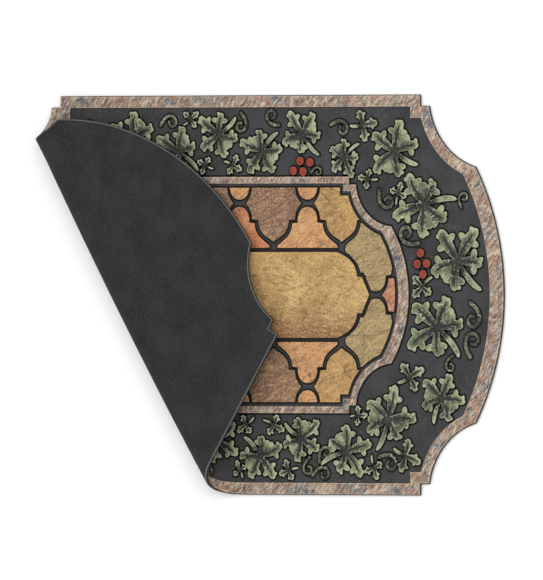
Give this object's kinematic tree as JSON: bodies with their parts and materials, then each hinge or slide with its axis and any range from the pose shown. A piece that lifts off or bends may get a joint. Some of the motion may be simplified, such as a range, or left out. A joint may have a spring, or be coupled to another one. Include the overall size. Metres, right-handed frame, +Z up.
{
  "type": "rubber door mat",
  "caption": "Moulded rubber outdoor mat of plaque outline with raised stone borders, tiles, ivy and berries, one end folded over to show its plain rubber back",
  "frame": {"origin": "On the floor, under the centre of the mat as it lay flat", "axes": "+X along the mat's length towards the end that lies flat, +Y across it, +Z up"},
  "size_m": [0.797, 0.5843, 0.056],
  "materials": {
    "black_rubber": "matt fine grained rubber back and dark flocked ground",
    "stone_border": "printed streaked stone look on raised rubber",
    "stone_tile": "printed mottled tile look on raised rubber",
    "ivy_flock": "flocked sage green over raised rubber",
    "berry_flock": "flocked brick red over raised rubber"
  },
  "bodies": {
    "root": {"mat": "black_rubber"}
  },
  "joints": []
}
